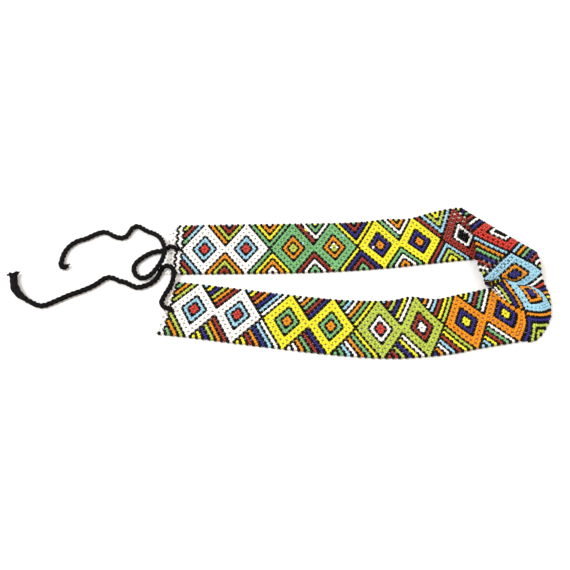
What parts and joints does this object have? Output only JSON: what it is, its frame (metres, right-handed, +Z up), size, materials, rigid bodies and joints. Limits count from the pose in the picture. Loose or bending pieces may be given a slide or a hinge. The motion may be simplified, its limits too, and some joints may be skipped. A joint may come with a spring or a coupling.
{
  "type": "beaded belt",
  "caption": "Netted bead belt laid in a U with one fold-over at the turn, and a twisted cord tie with a knotted end sewn to each short edge.",
  "frame": {"origin": "on the surface that the belt lies on, under the middle of the band's own box", "axes": "+X runs along the U from the two free ends to the turn, +Y from the near leg to the far leg, +Z up"},
  "size_m": [0.4393, 0.1466, 0.0168],
  "materials": {
    "beadwork": "netted glass seed beads, seen as one surface",
    "bead_white": "opaque white glass",
    "bead_black": "opaque black glass",
    "bead_light_blue": "opaque light blue glass",
    "bead_dark_blue": "dark blue glass",
    "bead_red": "opaque bright red glass",
    "bead_brick_red": "opaque brick red glass",
    "bead_green": "opaque green glass",
    "bead_lime": "opaque lime glass",
    "bead_yellow": "opaque yellow glass",
    "bead_orange": "opaque orange glass",
    "net_thread": "fine pale stringing thread",
    "cord_yarn": "soft black twisted yarn, matte"
  },
  "bodies": {
    "root": {"bead_band": "beadwork", "far_tie": "cord_yarn", "near_tie": "cord_yarn", "far_tie_knot": "cord_yarn", "near_tie_bound_end": "cord_yarn"}
  },
  "joints": []
}
